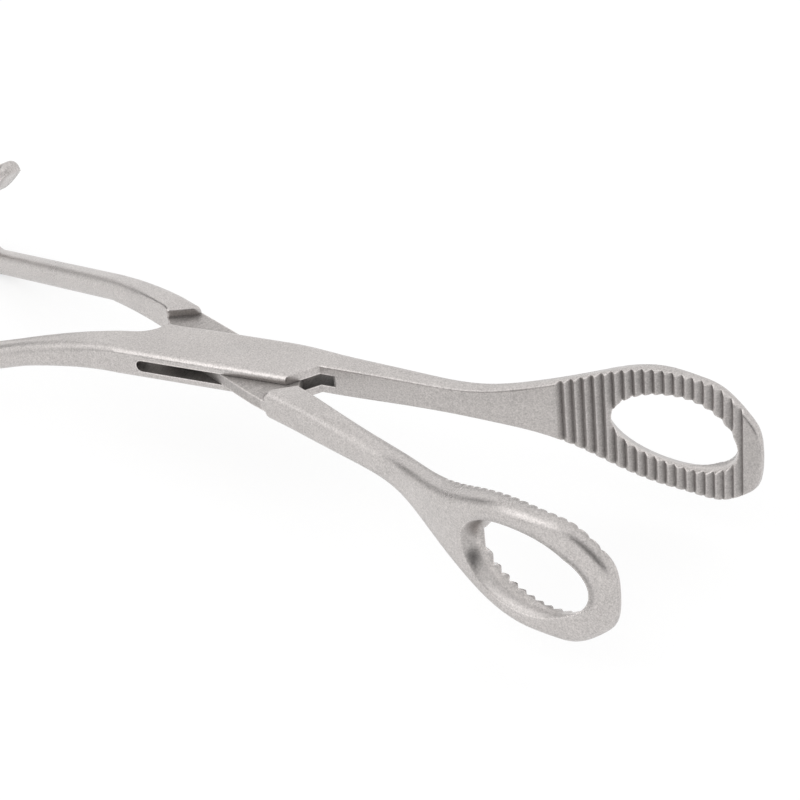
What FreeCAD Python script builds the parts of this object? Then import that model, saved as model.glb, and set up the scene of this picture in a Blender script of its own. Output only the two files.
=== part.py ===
import FreeCAD, Part
import math
import os

V = FreeCAD.Vector

# Plate holding forceps with a box joint, drawn in mm.
# Each arm is drawn in its own frame: s runs along the handle and -s along the jaw,
# u points to the side its own handle stands on, and z is the joint axis.

# Box joint
THICKNESS = 7.0
BOX_SIDES = (-6.6, 6.6)
BOX_ROOT_U = -6.6
TONGUE_SIDES = (-6.3, 6.3)
TONGUE_ROOT_U = -4.9
SLOT_HEIGHT = 2.7
TONGUE_PLAY = 0.05
PIN_DIAMETER = 4.0
PIN_PLAY = 0.03
PIN_HEAD_DIAMETER = 5.4
PIN_HEAD_DEPTH = 0.7
OPENING_DEG = 28.1
BOX_NOSE_S = 14.2
NOTCH_END_S = 19.4
NOTCH_END_U = -0.95
CROTCH_S = -18.8
SLOT_END_NEAR_S = -21.1
SLOT_END_FAR_S = -25.7
SLOT_END_ROUND = 1.3
SLOT_HANDLE_END_S = 22.4
JAW_SHOULDER = ((-24.7, 1.8), (-17.8, -6.8))
HANDLE_SHOULDER = ((19.95, -1.2), (15.1, 7.0))
SHOULDER_ROUND = 0.8

# Handle and finger loop
HANDLE_LENGTH = 116.0
LOOP_END_S = 115.5
LOOP_HALF_WIDTH = 13.5
LOOP_SAG = 0.6
LOOP_WIDEST_S = 97.0
LOOP_TILT_DEG = 36.0
FEMALE_LOOP_DROP = 0.25
FEMALE_LOOP_EXTRA = 1.0
MALE_LOOP_DROP = 0.0
MALE_LOOP_EXTRA = -0.6
HOLE_WIDEST = (96.5, 2.2, -0.4)
HOLE_NEAR_LENGTH = 15.0
HOLE_FAR_LENGTH = 11.3
HOLE_HALF_WIDTH = 8.3
HOLE_INNER_FLARE = 0.2
HOLE_OUTER_FLARE = 0.55
RIDGE_FIRST_S = 71.3
RIDGE_LAST_S = 110.0
RIDGE_PITCH = 2.1
RIDGE_DEPTH = 0.8

# Jaw
JAW_ROOT_S = -26.5
JAW_ROOT_INNER_U = 0.9
SHANK_WIDTH = 5.3
SHANK_HEIGHT = 5.6
SHANK_OFFSET = 2.65
SHANK_DROP_DEG = 16.2
SHANK_START = (-52.0, -4.4)
HOOK_START_S = -107.5
HOOK_RADIUS = 9.8
HOOK_TURN_DEG = 166.8
PRONG_LENGTH = 26.5
TOOTH_PITCH = 2.6
TOOTH_DEPTH = 1.7
TEETH = 5
BEVEL_LENGTH = 10.5
BEVEL_END = -0.3
TIP_ROUND = 1.8

# Edge roundings
BOX_ROUND = 1.6
HANDLE_ROUND = 1.9
CROTCH_ROUND = 0.8
INNER_ROUND = 0.6
SHANK_ROUND = 2.0

Z = V(0, 0, 1)
U = V(0, 1, 0)


def spline(points, start, end):
    """A smooth curve through the points with set end directions."""
    curve = Part.BSplineCurve()
    curve.interpolate(Points=[V(*p) for p in points], InitialTangent=V(*start), FinalTangent=V(*end))
    return curve


def line(a, b):
    return Part.makeLine(V(*a), V(*b))


def face_of(edges):
    return Part.Face(Part.Wire(Part.__sortEdges__(edges)))


def edges_near(shape, points):
    """The shape's edge nearest to each point."""
    found = []
    for p in points:
        vertex = Part.Vertex(V(*p))
        found.append(min(shape.Edges, key=lambda e: e.distToShape(vertex)[0]))
    return found


def both_faces(points, half):
    """The same places on the upper and the lower face."""
    return [(s, u, z) for s, u in points for z in (half, -half)]


def inner_edge():
    """The handle's inner edge in plan, from the notch to the end of the loop."""
    points = [
        (NOTCH_END_S, NOTCH_END_U, 0),
        (40.0, -1.1, 0),
        (57.0, -0.9, 0),
        (66.0, 0.5, 0),
        (75.0, 1.5, 0),
        (84.0, 1.75, 0),
        (93.0, 1.15, 0),
        (102.0, -0.5, 0),
        (110.0, -2.9, 0),
        (HANDLE_LENGTH, -4.9, 0),
    ]
    return spline(points, (1, -0.02, 0), (1, -0.3, 0))


def outer_edge(side_u):
    """The handle's outer edge in plan, from the box to the end of the loop."""
    points = [
        (10.0, side_u, 0),
        (22.0, 5.3, 0),
        (40.0, 3.7, 0),
        (56.0, 3.1, 0),
        (66.0, 4.7, 0),
        (75.0, 6.1, 0),
        (84.0, 6.3, 0),
        (92.0, 5.4, 0),
        (100.0, 3.4, 0),
        (108.0, 0.7, 0),
        (HANDLE_LENGTH, -2.1, 0),
    ]
    return spline(points, (1, 0, 0), (1, -0.36, 0))


def plan_face(sides, root_u):
    """The box and handle seen along the joint axis."""
    inner = inner_edge()
    outer = outer_edge(sides[1])
    root = (JAW_ROOT_S, JAW_ROOT_INNER_U, 0)
    root_outer = (JAW_ROOT_S, root_u, 0)
    nose = (BOX_NOSE_S, sides[0], 0)
    crotch = [root, (-21.6, 2.7, 0), (CROTCH_S, sides[1], 0)]
    edges = [
        line(root_outer, nose),
        Part.makeLine(V(*nose), inner.StartPoint),
        inner.toShape(),
        Part.makeLine(inner.EndPoint, outer.EndPoint),
        outer.toShape(),
        Part.makeLine(outer.StartPoint, V(*crotch[-1])),
        spline(crotch, (1, 0.12, 0), (0.5, 1, 0)).toShape(),
        line(root, root_outer),
    ]
    return face_of(edges)


def side_face(drop, extra):
    """The box, handle and loop seen from the side; the loop is lowered by drop, its end longer by extra."""
    half = THICKNESS / 2
    bow_length = LOOP_END_S - LOOP_WIDEST_S
    neck = [(24.0, half), (42.0, 3.25), (56.0, 3.8), (65.6, 5.8), (73.4, 8.4), (81.5, 11.5), (89.0, 13.2)]
    neck.append((LOOP_WIDEST_S, LOOP_HALF_WIDTH))
    bow = [neck[-1], (105.0, 12.8), (112.2, 8.6), (LOOP_END_S, 0.0)]
    start = JAW_ROOT_S - 5
    edges = [line((start, 0, -half), (start, 0, half))]
    for side, sag in ((1, 0.0), (-1, LOOP_SAG)):
        stretch = sag / (LOOP_HALF_WIDTH - half)
        near = []
        for s, z in neck:
            share = min(1.0, max(0.0, (s - 60.0) / 20.0))
            near.append((s, 0, side * (z + max(z - half, 0) * stretch) - drop * share))
        far = []
        for s, z in bow:
            longer = s + extra * (s - LOOP_WIDEST_S) / bow_length
            far.append((longer, 0, side * z * (1 + sag / LOOP_HALF_WIDTH) - drop))
        edges.append(line((start, 0, side * half), near[0]))
        edges.append(spline(near, (1, 0, 0), (1, 0, 0)).toShape())
        edges.append(spline(far, (1, 0, 0), (0, 0, -side)).toShape())
    return face_of(edges)


def loop_hole():
    """The egg-shaped finger hole, narrowest halfway through and flared toward both faces."""
    reach = 9.0

    def outline(offset, slope):
        flare = slope * abs(offset)
        middle = V(*HOLE_WIDEST) + U * offset
        wide = HOLE_HALF_WIDTH + flare
        quarters = []
        for length, direction in ((HOLE_FAR_LENGTH, 1), (HOLE_NEAR_LENGTH, -1)):
            for side in (1, -1):
                along = V(direction * (length + flare), 0, 0)
                across = V(0, 0, side * wide)
                quarters.append(quarter_ellipse(middle, along, across))
        return Part.Wire(Part.__sortEdges__(quarters))

    inside = Part.makeLoft([outline(-reach, HOLE_INNER_FLARE), outline(0, 0)], True, True)
    outside = Part.makeLoft([outline(0, 0), outline(reach, HOLE_OUTER_FLARE)], True, True)
    return inside.fuse(outside)


def quarter_ellipse(centre, first, second):
    """A quarter of an ellipse from centre + first to centre + second."""
    if first.Length >= second.Length:
        ellipse = Part.Ellipse(centre + first, centre + second, centre)
        return ellipse.toShape(0, math.pi / 2)
    ellipse = Part.Ellipse(centre + second, centre + first, centre)
    return ellipse.toShape(0, math.pi / 2)


def ridge_grooves():
    """The vee grooves that leave the grip ridges on the loop's inner face."""
    curve = inner_edge()
    grooves = []
    count = int((RIDGE_LAST_S - RIDGE_FIRST_S) / RIDGE_PITCH) + 1
    for i in range(count):
        s = RIDGE_FIRST_S + i * RIDGE_PITCH
        hit = curve.intersectCC(Part.LineSegment(V(s, -30, 0), V(s, 30, 0)))[0]
        on_face = V(s, hit.Y, 0)
        tangent = V(*curve.tangent(curve.parameter(on_face))[0])
        normal = V(-tangent.y, tangent.x, 0)
        open_half = tangent * (RIDGE_PITCH * 0.5)
        above = normal * -0.35
        apex = on_face + normal * RIDGE_DEPTH
        left = on_face - open_half * 1.25 + above
        right = on_face + open_half * 1.25 + above
        face = Part.Face(Part.makePolygon([left, right, apex, left]))
        face.translate(V(0, 0, -20))
        grooves.append(face.extrude(V(0, 0, 40)))
    return grooves


def across_arm(face, tilt_deg, depth=40.0):
    """Carries a side outline across the arm, leaning toward the end of the handle."""
    lean = depth * math.tan(math.radians(tilt_deg))
    face = face.copy()
    face.translate(V(-lean / 2, -depth / 2, 0))
    return face.extrude(V(lean, depth, 0))


def handle_blank(sides, root_u, drop, extra):
    """Box, handle and loop: the plan outline crossed with the side outline, edges rounded."""
    half = THICKNESS / 2
    plan = plan_face(sides, root_u)
    plan.translate(V(0, 0, -20))
    body = plan.extrude(V(0, 0, 40)).common(across_arm(side_face(drop, extra), LOOP_TILT_DEG)).Solids[0]
    outer = both_faces([(30, 4.2)], half) + both_faces([(75, 6.0)], 8.0) + both_faces([(108, 1.4)], 11.3)
    body = body.makeFillet(HANDLE_ROUND, edges_near(body, outer))
    near = both_faces([(-5, sides[0])], half)
    body = body.makeFillet(BOX_ROUND, edges_near(body, near))
    far = both_faces([(-5, sides[1]), (-21.6, 2.7)], half)
    body = body.makeFillet(CROTCH_ROUND, edges_near(body, far))
    inner = both_faces([(30, -1.1), (16.8, -3.8)], half)
    inner += both_faces([(75, 1.75)], 8.2) + both_faces([(107, -3.2)], 11.6)
    return body.makeFillet(INNER_ROUND, edges_near(body, inner))


def rounded_section(origin, upward, box, rounds):
    """A rounded rectangle: box is (u low, u high, z low, z high), rounds are at u low and u high."""
    lo, hi, bottom, top = box
    r_lo, r_hi = rounds
    k = 1 - math.sqrt(0.5)

    def at(a, b):
        return origin + U * a + upward * b

    def corner(a, b, r, toward_a, toward_b):
        first = at(a + toward_a * r, b)
        middle = at(a + toward_a * r * k, b + toward_b * r * k)
        last = at(a, b + toward_b * r)
        return first, Part.Arc(first, middle, last).toShape(), last

    corners = [
        corner(hi, bottom, r_hi, -1, 1),
        corner(hi, top, r_hi, -1, -1),
        corner(lo, top, r_lo, 1, -1),
        corner(lo, bottom, r_lo, 1, 1),
    ]
    edges = [c[1] for c in corners]
    edges.append(Part.makeLine(corners[0][2], corners[1][2]))
    edges.append(Part.makeLine(corners[1][0], corners[2][0]))
    edges.append(Part.makeLine(corners[2][2], corners[3][2]))
    edges.append(Part.makeLine(corners[3][0], corners[0][0]))
    return Part.Wire(Part.__sortEdges__(edges))


def jaw(root, root_u):
    """Neck from the box's end outline, straight shank, hook and toothed prong."""
    drop = math.radians(SHANK_DROP_DEG)
    lo = -SHANK_OFFSET - SHANK_WIDTH / 2
    hi = -SHANK_OFFSET + SHANK_WIDTH / 2
    tall = SHANK_HEIGHT / 2
    up = V(-math.sin(drop), 0, math.cos(drop))
    back = V(-math.cos(drop), 0, -math.sin(drop))
    bar = (lo, hi, -tall, tall)
    rounds = (SHANK_ROUND, SHANK_ROUND)
    start = V(SHANK_START[0], 0, SHANK_START[1])

    neck = [root]
    for s, z, lean, us, zs, neck_rounds in (
        (-34.0, -0.75, 5.0, (lo + 0.5 * (root_u - lo), 0.55), (-3.4, 3.2), (1.8, 1.0)),
        (-43.0, -2.35, 11.5, (lo + 0.15 * (root_u - lo), hi + 0.3), (-3.1, 3.0), (1.9, 1.5)),
    ):
        a = math.radians(lean)
        neck_up = V(-math.sin(a), 0, math.cos(a))
        neck.append(rounded_section(V(s, 0, z), neck_up, us + zs, neck_rounds))
    neck.append(rounded_section(start, up, bar, rounds))
    body = Part.makeLoft(neck, True, False)

    run = (HOOK_START_S - SHANK_START[0]) / back.x
    shank = Part.Face(rounded_section(start, up, bar, rounds)).extrude(back * run)
    turn_start = start + back * run
    centre = turn_start + up * HOOK_RADIUS
    bend = Part.Face(rounded_section(turn_start, up, bar, rounds)).revolve(centre, U, HOOK_TURN_DEG)
    turned = FreeCAD.Rotation(U, HOOK_TURN_DEG)
    prong_start = centre + turned.multVec(turn_start - centre)
    prong_up = turned.multVec(up)
    forward = turned.multVec(back)
    prong = Part.Face(rounded_section(prong_start, prong_up, bar, rounds)).extrude(forward * PRONG_LENGTH)
    tip_edges = [e for e in prong.Edges if (e.CenterOfMass - prong_start).dot(forward) > PRONG_LENGTH - 0.01]
    prong = prong.makeFillet(TIP_ROUND, tip_edges)
    for cutter in prong_teeth(prong_start, forward, prong_up, lo - 1, hi + 1):
        prong = prong.cut(cutter)
    return body.multiFuse([shank, bend, prong])


def prong_teeth(origin, forward, up, lo, hi):
    """Cutters for the bevel under the tip and the vee teeth behind it."""
    tall = SHANK_HEIGHT / 2

    def bar(points):
        corners = [origin + forward * a + up * b + U * lo for a, b in points]
        return Part.Face(Part.makePolygon(corners + corners[:1])).extrude(U * (hi - lo))

    first = PRONG_LENGTH - BEVEL_LENGTH
    end = PRONG_LENGTH + 1
    cutters = [bar([(first, tall + 0.01), (end, BEVEL_END), (end, tall + 2), (first, tall + 2)])]
    for i in range(TEETH):
        a = first - i * TOOTH_PITCH
        points = [(a, tall + 0.01), (a - TOOTH_PITCH * 0.55, tall - TOOTH_DEPTH), (a - TOOTH_PITCH, tall + 0.01)]
        cutters.append(bar(points + [(a - TOOTH_PITCH, tall + 1), (a, tall + 1)]))
    return cutters


def arm(sides, root_u, drop, extra):
    """One whole arm before the joint is cut into it."""
    blank = handle_blank(sides, root_u, drop, extra)
    root = min(blank.Faces, key=lambda f: f.CenterOfMass.x).OuterWire
    body = blank.cut(loop_hole())
    body = body.cut(Part.makeCompound(ridge_grooves()))
    return body.fuse(jaw(root, root_u)).Solids[0]


def female_arm():
    """The arm whose box is slotted from side to side for the other arm."""
    body = arm(BOX_SIDES, BOX_ROOT_U, FEMALE_LOOP_DROP, FEMALE_LOOP_EXTRA)
    half_width = BOX_SIDES[1]
    reach = half_width + 6
    share = (half_width + reach) / (2 * half_width)
    far_s = SLOT_END_NEAR_S + (SLOT_END_FAR_S - SLOT_END_NEAR_S) * share
    near_s = SLOT_END_NEAR_S + (SLOT_END_NEAR_S - SLOT_END_FAR_S) * (share - 1)
    corners = [(near_s, -reach), (SLOT_HANDLE_END_S, -reach), (SLOT_HANDLE_END_S, reach), (far_s, reach)]
    points = [V(s, u, -SLOT_HEIGHT / 2) for s, u in corners + corners[:1]]
    slot = Part.Face(Part.makePolygon(points)).extrude(V(0, 0, SLOT_HEIGHT))
    jaw_end = [((near_s + far_s) / 2, 0, side * SLOT_HEIGHT / 2) for side in (1, -1)]
    slot = slot.makeFillet(SLOT_END_ROUND, edges_near(slot, jaw_end))
    return body.cut(slot).cut(rivet(0)).Solids[0]


def male_arm():
    """The arm that is thinned to a tongue between two slanted shoulders."""
    body = arm(TONGUE_SIDES, TONGUE_ROOT_U, MALE_LOOP_DROP, MALE_LOOP_EXTRA)
    tongue = SLOT_HEIGHT / 2 - TONGUE_PLAY
    corners = JAW_SHOULDER + ((16, -16),) + HANDLE_SHOULDER + ((-16, 16),)
    for side in (1, -1):
        points = [V(s, u, side * tongue) for s, u in corners + corners[:1]]
        body = body.cut(Part.Face(Part.makePolygon(points)).extrude(V(0, 0, side * 10)))
    body = body.Solids[0]
    half = THICKNESS / 2
    middles = [((a[0] + b[0]) / 2, (a[1] + b[1]) / 2) for a, b in (JAW_SHOULDER, HANDLE_SHOULDER)]
    body = body.makeFillet(SHOULDER_ROUND, edges_near(body, both_faces(middles, half)))
    bore = Part.makeCylinder(PIN_DIAMETER / 2 + PIN_PLAY, THICKNESS * 2, V(0, 0, -THICKNESS))
    return body.cut(bore).Solids[0]


def rivet(play):
    """The rivet, upset flush into both faces of the box."""
    half = THICKNESS / 2
    r = PIN_DIAMETER / 2 + play
    head = PIN_HEAD_DIAMETER / 2 + play
    profile = [(0, -half), (head, -half), (r, -half + PIN_HEAD_DEPTH), (r, half - PIN_HEAD_DEPTH)]
    profile += [(head, half), (0, half), (0, -half)]
    outline = Part.Face(Part.makePolygon([V(x, 0, z) for x, z in profile]))
    return outline.revolve(V(0, 0, 0), Z, 360)


def place(shape, sign):
    """Turns an arm from its own frame to its place at the photographed opening."""
    if sign < 0:
        shape = shape.mirror(V(0, 0, 0), U)
    shape.rotate(V(0, 0, 0), Z, sign * OPENING_DEG / 2)
    shape.translate(V(0, 0, -THICKNESS / 2))
    return shape


def main():
    os.makedirs("parts", exist_ok=True)
    nodes = {
        "female_arm": place(female_arm(), 1),
        "male_arm": place(male_arm(), -1),
        "pivot_pin": place(rivet(0), 1),
    }
    for name, shape in nodes.items():
        print(name, shape.isValid(), shape.ShapeType, len(shape.Solids), round(shape.Volume, 1))
        shape.exportStep("parts/" + name + ".step")


main()
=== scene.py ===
import bpy
import math
from mathutils import Matrix, Vector


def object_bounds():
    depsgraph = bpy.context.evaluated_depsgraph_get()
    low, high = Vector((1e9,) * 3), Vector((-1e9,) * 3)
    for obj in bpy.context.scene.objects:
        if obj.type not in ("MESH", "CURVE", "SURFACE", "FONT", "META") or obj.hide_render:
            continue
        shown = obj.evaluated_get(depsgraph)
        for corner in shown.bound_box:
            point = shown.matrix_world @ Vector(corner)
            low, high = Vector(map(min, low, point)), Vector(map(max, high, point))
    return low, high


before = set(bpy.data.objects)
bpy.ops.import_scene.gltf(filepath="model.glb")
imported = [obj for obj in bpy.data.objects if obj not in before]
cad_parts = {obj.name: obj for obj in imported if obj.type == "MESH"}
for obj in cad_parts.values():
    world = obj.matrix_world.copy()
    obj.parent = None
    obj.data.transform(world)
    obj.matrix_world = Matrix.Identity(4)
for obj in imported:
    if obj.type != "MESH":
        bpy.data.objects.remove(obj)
cad_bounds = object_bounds()


# The slotted arm: one forging of stainless steel with a box at the joint, a handle
# with a ridged finger loop and a hooked jaw. It is ground all over, brushed across its
# length and then bead blasted to a satin skin, which leaves a fine even grain.
steel_colour = (0.56, 0.531, 0.516, 1.0)
half_opening = math.radians(14.05)


def node_group(name, inputs, outputs):
    """An empty shader group with named inputs and outputs."""
    group = bpy.data.node_groups.new(name, "ShaderNodeTree")
    for label, kind, value in inputs:
        socket = group.interface.new_socket(label, in_out="INPUT", socket_type=kind)
        socket.default_value = value
    for label, kind in outputs:
        group.interface.new_socket(label, in_out="OUTPUT", socket_type=kind)
    entry = group.nodes.new("NodeGroupInput")
    leave = group.nodes.new("NodeGroupOutput")
    return group, entry, leave


def noise(group, vector, size, detail=2.0, rough=0.5):
    """Noise whose lumps are about size metres across."""
    texture = group.nodes.new("ShaderNodeTexNoise")
    texture.inputs["Scale"].default_value = 1.0 / size
    texture.inputs["Detail"].default_value = detail
    texture.inputs["Roughness"].default_value = rough
    group.links.new(vector, texture.inputs["Vector"])
    return texture.outputs["Fac"]


def spread(group, value, low, high):
    """Stretches a noise value so that it runs from low to high."""
    node = group.nodes.new("ShaderNodeMapRange")
    node.inputs["From Min"].default_value = 0.3
    node.inputs["From Max"].default_value = 0.7
    node.inputs["To Min"].default_value = low
    node.inputs["To Max"].default_value = high
    group.links.new(value, node.inputs["Value"])
    return node.outputs["Result"]


def calc(group, operation, first, second):
    """A Math node on two values, each a socket or a number."""
    node = group.nodes.new("ShaderNodeMath")
    node.operation = operation
    for slot, value in zip(node.inputs, (first, second)):
        if isinstance(value, (int, float)):
            slot.default_value = value
        else:
            group.links.new(value, slot)
    return node.outputs[0]


def between(group, value, low, high, first=0.0, last=1.0):
    """A soft step of a value from low to high."""
    node = group.nodes.new("ShaderNodeMapRange")
    node.interpolation_type = "SMOOTHSTEP"
    node.inputs["From Min"].default_value = low
    node.inputs["From Max"].default_value = high
    node.inputs["To Min"].default_value = first
    node.inputs["To Max"].default_value = last
    group.links.new(value, node.inputs["Value"])
    return node.outputs["Result"]


def past_end(group, parts, end, slant):
    """How far a point lies past one slanted end of the slot or the tongue."""
    lean = calc(group, "MULTIPLY", parts["Y"], slant)
    return calc(group, "ADD", calc(group, "SUBTRACT", parts["X"], end), lean)


def recess(group, parts, entry):
    """The joint's middle band between two slanted ends: the slot's walls or the tongue."""
    half_thickness = 0.0035
    half_slot = 0.00136
    from_middle = calc(group, "ABSOLUTE", calc(group, "ADD", parts["Z"], half_thickness), 0.0)
    band = between(group, from_middle, half_slot, half_slot + 0.00002, 1.0, 0.0)
    past_jaw = past_end(group, parts, entry["Jaw End"], entry["Jaw Slant"])
    past_handle = past_end(group, parts, entry["Handle End"], entry["Handle Slant"])
    before_handle = between(group, past_handle, 0.0, 0.0001, 1.0, 0.0)
    ends = calc(group, "MULTIPLY", between(group, past_jaw, -0.0001, 0.0), before_handle)
    return calc(group, "MULTIPLY", band, ends)


def hole_walls(group, parts, normals):
    """Where the wall of the finger hole lies, inside the flat faces of the loop."""
    hole_middle = (0.0955, -0.0039)
    hole_reach = (0.0165, 0.011)
    squares = 0.0
    for part, middle, reach in zip((parts["X"], parts["Z"]), hole_middle, hole_reach):
        share = calc(group, "DIVIDE", calc(group, "SUBTRACT", part, middle), reach)
        squares = calc(group, "ADD", squares, calc(group, "MULTIPLY", share, share))
    inside = between(group, squares, 1.0, 1.05, 1.0, 0.0)
    steep = between(group, calc(group, "ABSOLUTE", normals["Y"], 0.0), 0.6, 0.75, 1.0, 0.0)
    return calc(group, "MULTIPLY", inside, steep)


def soft_rims():
    """Rounds the light across the edges of the jaw and the loop, as on the tumbled forging."""
    inputs = [
        ("Vector", "NodeSocketVector", (0, 0, 0)),
        ("Facing", "NodeSocketVector", (0, 0, 1)),
        ("Radius", "NodeSocketFloat", 0.003),
    ]
    group, entry, leave = node_group("soft_rims", inputs, [("Normal", "NodeSocketVector")])
    split = group.nodes.new("ShaderNodeSeparateXYZ")
    group.links.new(entry.outputs["Vector"], split.inputs[0])
    facing = group.nodes.new("ShaderNodeSeparateXYZ")
    group.links.new(entry.outputs["Facing"], facing.inputs[0])
    on_loop = between(group, split.outputs["X"], 0.03, 0.045)
    outside = between(group, facing.outputs["Y"], -0.3, -0.1)
    on_jaw = between(group, split.outputs["X"], -0.042, -0.028, 1.0, 0.0)
    share = calc(group, "ADD", calc(group, "MULTIPLY", on_loop, outside), on_jaw)
    radius = calc(group, "MULTIPLY", share, entry.outputs["Radius"])
    rim = group.nodes.new("ShaderNodeBevel")
    rim.samples = 8
    group.links.new(calc(group, "ADD", radius, 0.0001), rim.inputs["Radius"])
    group.links.new(rim.outputs["Normal"], leave.inputs["Normal"])
    return group


def blasted_skin_and_painted_light():
    """Grain of the blasting and the brushing under it, with painted shade in the corners, the
    recesses and on the turned-in faces, painted light and shade bands on the hole's wall, and edges
    lightened partly by wear, partly as a painted highlight.
    """
    inputs = [
        ("Vector", "NodeSocketVector", (0, 0, 0)),
        ("Facing", "NodeSocketVector", (0, 0, 1)),
        ("Colour", "NodeSocketColor", steel_colour),
        ("Roughness", "NodeSocketFloat", 0.3),
        ("Brushing", "NodeSocketFloat", 0.5),
        ("Cavity Shade", "NodeSocketFloat", 0.95),
        ("Edge Wear And Highlight", "NodeSocketFloat", 0.55),
        ("Inner Face Shade", "NodeSocketFloat", 0.1),
        ("Jaw End", "NodeSocketFloat", 0.0),
        ("Jaw Slant", "NodeSocketFloat", 0.0),
        ("Handle End", "NodeSocketFloat", 0.0),
        ("Handle Slant", "NodeSocketFloat", 0.0),
        ("Recess Shade", "NodeSocketFloat", 0.0),
        ("Notch Shade", "NodeSocketFloat", 0.0),
    ]
    outputs = [
        ("Colour", "NodeSocketColor"),
        ("Roughness", "NodeSocketFloat"),
        ("Height", "NodeSocketFloat"),
    ]
    group, entry, leave = node_group("blasted_skin_and_painted_light", inputs, outputs)
    links = group.links
    place = entry.outputs["Vector"]
    split = group.nodes.new("ShaderNodeSeparateXYZ")
    links.new(place, split.inputs[0])
    facing = group.nodes.new("ShaderNodeSeparateXYZ")
    links.new(entry.outputs["Facing"], facing.inputs[0])

    lines = group.nodes.new("ShaderNodeMapping")
    lines.inputs["Scale"].default_value = (1.0, 0.06, 0.05)
    links.new(place, lines.inputs["Vector"])
    brushed = noise(group, lines.outputs["Vector"], 0.00028, 3.0, 0.6)
    grain = noise(group, place, 0.00035, 2.0, 0.7)
    patches = noise(group, place, 0.012, 2.0, 0.5)
    specks = noise(group, place, 0.0011, 2.0, 0.6)

    # Painted shade: ambient occlusion darkens the colour in corners, grooves and the slot, where
    # shade falls.
    corner = group.nodes.new("ShaderNodeAmbientOcclusion")
    corner.samples = 8
    corner.inputs["Distance"].default_value = 0.0025
    shaded = calc(group, "SUBTRACT", 1.0, corner.outputs["AO"])
    shaded = calc(group, "MULTIPLY", shaded, entry.outputs["Cavity Shade"])
    # A thin inside occlusion finds the convex edges and ridge crests.
    thin = group.nodes.new("ShaderNodeAmbientOcclusion")
    thin.samples = 8
    thin.inside = True
    thin.inputs["Distance"].default_value = 0.0005
    edge = between(group, thin.outputs["AO"], 0.35, 0.95, 1.0, 0.0)
    away = group.nodes.new("ShaderNodeVectorMath")
    away.operation = "LENGTH"
    flat = group.nodes.new("ShaderNodeCombineXYZ")
    links.new(split.outputs["X"], flat.inputs["X"])
    links.new(split.outputs["Y"], flat.inputs["Y"])
    links.new(flat.outputs["Vector"], away.inputs[0])
    off_rivet = between(group, away.outputs["Value"], 0.0036, 0.0042)
    edge = calc(group, "MULTIPLY", edge, off_rivet)
    turned_in = between(group, facing.outputs["Y"], -0.75, -0.35, 1.0, 0.0)
    inner = calc(group, "MULTIPLY", turned_in, between(group, split.outputs["X"], 0.019, 0.023))
    pocket = recess(group, split.outputs, entry.outputs)

    tone = spread(group, patches, -0.05, 0.05)
    tone = calc(group, "ADD", tone, spread(group, grain, -0.22, 0.22))
    tone = calc(group, "ADD", tone, spread(group, specks, -0.05, 0.05))
    streak = calc(group, "MULTIPLY", spread(group, brushed, -0.05, 0.05), entry.outputs["Brushing"])
    milled = calc(group, "ADD", calc(group, "MULTIPLY", pocket, 4.0), 1.0)
    streak = calc(group, "MULTIPLY", streak, milled)
    tone = calc(group, "ADD", calc(group, "ADD", tone, streak), 1.0)
    tone = calc(group, "MULTIPLY", tone, calc(group, "SUBTRACT", 1.0, shaded))
    # Edges and crests are lightened: partly the burnish of wear, partly a painted highlight.
    wear_and_highlight = calc(group, "MULTIPLY", edge, entry.outputs["Edge Wear And Highlight"])
    tone = calc(group, "MULTIPLY", tone, calc(group, "ADD", 1.0, wear_and_highlight))
    # Painted shade: the turned-in faces of the handles are darkened, more so where they are ridged,
    # as the side that the light reaches less.
    ridged = between(group, split.outputs["X"], 0.069, 0.071, 0.4, 1.0)
    inner_face_shade = calc(group, "MULTIPLY", inner, ridged)
    inner_face_shade = calc(group, "MULTIPLY", inner_face_shade, entry.outputs["Inner Face Shade"])
    # Painted highlight and shade on the finger hole's wall: a lighter band next to the ridges and a
    # darker band out on the flare.
    walls = hole_walls(group, split.outputs, facing.outputs)
    bend_start = 0.084
    bend = calc(group, "MAXIMUM", calc(group, "SUBTRACT", split.outputs["X"], bend_start), 0.0)
    bend = calc(group, "MULTIPLY", calc(group, "MULTIPLY", bend, bend), 7.2)
    deep = calc(group, "ADD", split.outputs["Y"], bend)
    flare = between(group, deep, 0.0034, 0.0042, 1.12, 0.86)
    wall_light_bands = calc(group, "MULTIPLY", walls, calc(group, "SUBTRACT", flare, 1.0))
    tone = calc(group, "MULTIPLY", tone, calc(group, "ADD", 1.0, wall_light_bands))
    tone = calc(group, "MULTIPLY", tone, calc(group, "SUBTRACT", 1.0, inner_face_shade))
    # Painted shade: the slot's walls, the tongue between its shoulders and the box's notch are
    # darkened as the shade in these recesses.
    notch = between(group, split.outputs["X"], 0.0155, 0.0175)
    notch = calc(group, "MULTIPLY", notch, entry.outputs["Notch Shade"])
    painted_recess_shade = calc(group, "ADD", entry.outputs["Recess Shade"], notch)
    painted_recess_shade = calc(group, "MULTIPLY", pocket, painted_recess_shade)
    tone = calc(group, "MULTIPLY", tone, calc(group, "SUBTRACT", 1.0, painted_recess_shade))
    tinted = group.nodes.new("ShaderNodeVectorMath")
    tinted.operation = "SCALE"
    links.new(entry.outputs["Colour"], tinted.inputs[0])
    links.new(tone, tinted.inputs["Scale"])
    links.new(tinted.outputs["Vector"], leave.inputs["Colour"])

    rough = calc(group, "ADD", entry.outputs["Roughness"], spread(group, patches, -0.03, 0.03))
    rough = calc(group, "ADD", rough, calc(group, "MULTIPLY", shaded, 0.25))
    rough = calc(group, "ADD", rough, calc(group, "MULTIPLY", inner, 0.1))
    rough = calc(group, "SUBTRACT", rough, calc(group, "MULTIPLY", edge, 0.08))
    rough = calc(group, "ADD", rough, calc(group, "MULTIPLY", pocket, 0.2))
    links.new(rough, leave.inputs["Roughness"])

    height = calc(group, "MULTIPLY", brushed, entry.outputs["Brushing"])
    height = calc(group, "ADD", height, calc(group, "MULTIPLY", grain, 0.8))
    links.new(height, leave.inputs["Height"])
    return group


skin = blasted_skin_and_painted_light()
rims = soft_rims()


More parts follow.
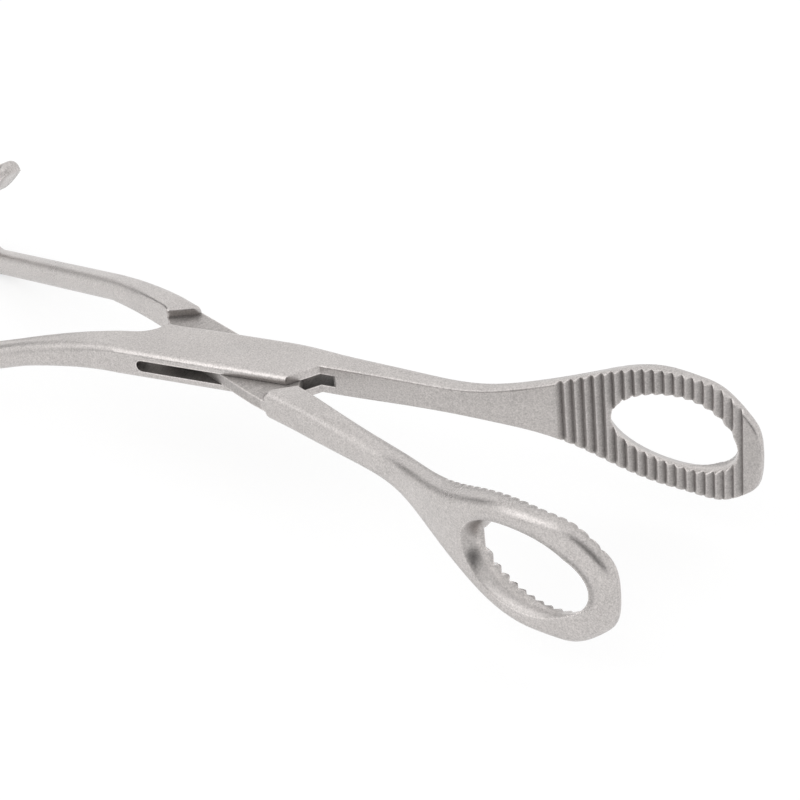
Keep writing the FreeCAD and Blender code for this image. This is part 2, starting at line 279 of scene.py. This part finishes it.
def satin_steel(name, side, colour, roughness, recess_values):
    """Satin steel on an arm whose handle stands on the side +1 or -1 of the middle line."""
    material = bpy.data.materials.new(name)
    material.use_nodes = True
    tree = material.node_tree
    shader = tree.nodes["Principled BSDF"]
    shader.inputs["Metallic"].default_value = 1.0
    where = tree.nodes.new("ShaderNodeTexCoord")
    surface = tree.nodes.new("ShaderNodeGroup")
    surface.node_tree = skin
    rounding = tree.nodes.new("ShaderNodeGroup")
    rounding.node_tree = rims
    for output, kind, entry in (("Object", "POINT", "Vector"), ("Normal", "VECTOR", "Facing")):
        turned = tree.nodes.new("ShaderNodeMapping")
        turned.vector_type = kind
        turned.inputs["Scale"].default_value = (1.0, side, 1.0)
        turned.inputs["Rotation"].default_value = (0.0, 0.0, -half_opening)
        tree.links.new(where.outputs[output], turned.inputs["Vector"])
        tree.links.new(turned.outputs["Vector"], surface.inputs[entry])
        tree.links.new(turned.outputs["Vector"], rounding.inputs[entry])
    surface.inputs["Colour"].default_value = colour
    surface.inputs["Roughness"].default_value = roughness
    for label, value in recess_values.items():
        surface.inputs[label].default_value = value
    bump = tree.nodes.new("ShaderNodeBump")
    bump.inputs["Strength"].default_value = 0.5
    bump.inputs["Distance"].default_value = 0.00006
    tree.links.new(surface.outputs["Height"], bump.inputs["Height"])
    tree.links.new(rounding.outputs["Normal"], bump.inputs["Normal"])
    tree.links.new(surface.outputs["Colour"], shader.inputs["Base Color"])
    tree.links.new(surface.outputs["Roughness"], shader.inputs["Roughness"])
    tree.links.new(bump.outputs["Normal"], shader.inputs["Normal"])
    return material


def finish_node(name, material):
    """Gives a whole piece one finish."""
    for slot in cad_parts[name].material_slots:
        slot.material = material


slot_values = {
    "Jaw End": -0.0235,
    "Jaw Slant": 0.3485,
    "Handle End": 0.0227,
    "Handle Slant": 0.0,
    "Recess Shade": 0.15,
    "Notch Shade": 0.4,
}
finish_node("female_arm", satin_steel("slotted_arm_steel", 1.0, steel_colour, 0.3, slot_values))


# The tongued arm: the same forging mirrored, thinned between two slanted shoulders to
# the tongue that passes through the box. It has the same satin skin, and the brushing
# runs across its own length.
tongue_values = {
    "Jaw End": -0.02326,
    "Jaw Slant": 0.802,
    "Handle End": 0.01924,
    "Handle Slant": 0.5915,
    "Recess Shade": 0.12,
}
finish_node("male_arm", satin_steel("tongued_arm_steel", -1.0, steel_colour, 0.3, tongue_values))


# The rivet: a pin of the same steel, peened over and ground flush with both faces of
# the box, so that only a faint ring shows when the light catches it.
pin_colour = (0.552, 0.525, 0.511, 1.0)
finish_node("pivot_pin", satin_steel("rivet_steel", 1.0, pin_colour, 0.29, {}))


# The table: a plain white sheet under the hooks, the lowest points of the forceps. It
# shows nearly pure white and keeps a soft shadow.
table_height = cad_bounds[0][2] - 0.0001
reach = 4.0
sheet = bpy.data.meshes.new("table")
corners = [(-reach, -reach), (reach, -reach), (reach, reach), (-reach, reach)]
sheet.from_pydata([(x, y, table_height) for x, y in corners], [], [(0, 1, 2, 3)])
table = bpy.data.objects.new("table", sheet)
bpy.context.scene.collection.objects.link(table)
paper = bpy.data.materials.new("white_paper")
paper.use_nodes = True
tree = paper.node_tree
tree.nodes.remove(tree.nodes["Principled BSDF"])
lit = tree.nodes.new("ShaderNodeBsdfDiffuse")
lit.inputs["Color"].default_value = (0.8, 0.8, 0.8, 1.0)
shown = tree.nodes.new("ShaderNodeBsdfDiffuse")
shown.inputs["Color"].default_value = (0.3, 0.3, 0.3, 1.0)
glow = tree.nodes.new("ShaderNodeEmission")
glow.inputs["Strength"].default_value = 0.72
both = tree.nodes.new("ShaderNodeAddShader")
tree.links.new(shown.outputs[0], both.inputs[0])
tree.links.new(glow.outputs[0], both.inputs[1])
path = tree.nodes.new("ShaderNodeLightPath")
seen = tree.nodes.new("ShaderNodeMath")
seen.operation = "MAXIMUM"
tree.links.new(path.outputs["Is Camera Ray"], seen.inputs[0])
tree.links.new(path.outputs["Is Glossy Ray"], seen.inputs[1])
pick = tree.nodes.new("ShaderNodeMixShader")
beyond = tree.nodes.new("ShaderNodeMath")
beyond.operation = "MAXIMUM"
tree.links.new(seen.outputs[0], beyond.inputs[0])
tree.links.new(path.outputs["Is Transmission Ray"], beyond.inputs[1])
tree.links.new(beyond.outputs[0], pick.inputs["Fac"])
tree.links.new(lit.outputs[0], pick.inputs[1])
tree.links.new(both.outputs[0], pick.inputs[2])
tree.links.new(pick.outputs[0], tree.nodes["Material Output"].inputs["Surface"])
sheet.materials.append(paper)


# The studio: a white tent. Dark cards low in front and at the left leave the dark bands
# along the rounded edges, and soft panels at the left and in front brighten the edges
# between them. None of them shows in the picture.
world = bpy.data.worlds.new("tent")
bpy.context.scene.world = world
world.use_nodes = True
cloth = world.node_tree.nodes["Background"]
cloth.inputs["Color"].default_value = (1.0, 1.0, 1.0, 1.0)
cloth.inputs["Strength"].default_value = 1.0


def turned_to_joint(place):
    """The turn that points a card or panel from its place at the joint."""
    return Vector(place).to_track_quat("Z", "Y").to_matrix()


def soft_panel(name, place, size, brightness):
    """A rectangular soft panel that faces the joint, as bright as a surface of that colour."""
    lamp = bpy.data.lights.new(name, "AREA")
    lamp.shape = "RECTANGLE"
    lamp.size, lamp.size_y = size
    lamp.energy = brightness * math.pi * size[0] * size[1]
    holder = bpy.data.objects.new(name, lamp)
    holder.matrix_world = Matrix.Translation(place) @ turned_to_joint(place).to_4x4()
    holder.visible_camera = False
    bpy.context.scene.collection.objects.link(holder)


def dark_card(name, place, size, colour):
    """A dark card of the studio that faces the joint."""
    turn = turned_to_joint(place)
    half_width, half_height = size[0] / 2, size[1] / 2
    corners = [(-1, -1), (1, -1), (1, 1), (-1, 1)]
    flat = [Vector((x * half_width, y * half_height, 0)) for x, y in corners]
    points = [Vector(place) + turn @ corner for corner in flat]
    mesh = bpy.data.meshes.new(name)
    mesh.from_pydata(points, [], [(0, 1, 2, 3)])
    card = bpy.data.objects.new(name, mesh)
    bpy.context.scene.collection.objects.link(card)
    felt = bpy.data.materials.new(name)
    felt.use_nodes = True
    shader = felt.node_tree.nodes["Principled BSDF"]
    shader.inputs["Base Color"].default_value = colour
    shader.inputs["Roughness"].default_value = 0.9
    mesh.materials.append(felt)
    card.visible_camera = False
    card.visible_diffuse = False
    card.visible_shadow = False


soft_panel("left_panel", (-0.52, -0.325, 0.514), (0.5, 0.4), 0.3)
soft_panel("front_panel", (-0.2, -0.5, 0.6), (0.35, 0.3), 0.35)
dark_card("front_card", (0.37, -0.528, 0.125), (0.6, 0.46), (0.03, 0.03, 0.03, 1.0))
soft_panel("handle_panel", (-0.02, -0.18, 0.09), (0.12, 0.12), 1.0)
dark_card("left_card", (-0.72, -0.04, 0.31), (0.34, 0.3), (0.02, 0.02, 0.02, 1.0))
dark_card("lower_card", (-0.27, -0.75, 0.07), (0.3, 0.16), (0.15, 0.15, 0.15, 1.0))


# The camera: a long lens half a metre from the joint, above and in front of the handles,
# rolled a little so that the slotted arm's jaw leaves the picture level with its edge.
turn = math.radians(40.032)
height = math.radians(34.228)
roll = math.radians(-6.027)
distance = 0.5
aim_x = 0.033871
aim_y = -0.007741
joint_middle = Vector((0.0, 0.0, -0.0035))
level = math.cos(height)
toward = Vector((math.sin(turn) * level, -math.cos(turn) * level, math.sin(height)))
level_right = Vector((math.cos(turn), math.sin(turn), 0.0))
level_up = toward.cross(level_right)
right = level_right * math.cos(roll) + level_up * math.sin(roll)
up = level_up * math.cos(roll) - level_right * math.sin(roll)
eye = joint_middle + toward * distance + right * aim_x + up * aim_y
lens = bpy.data.cameras.new("camera")
lens.sensor_width = 36.0
lens.lens = 106.89
lens.clip_start = 0.01
lens.clip_end = 20.0
camera = bpy.data.objects.new("camera", lens)
camera.matrix_world = Matrix.Translation(eye) @ Matrix((right, up, toward)).transposed().to_4x4()
bpy.context.scene.collection.objects.link(camera)
bpy.context.scene.camera = camera
bpy.context.scene.view_settings.view_transform = "Standard"
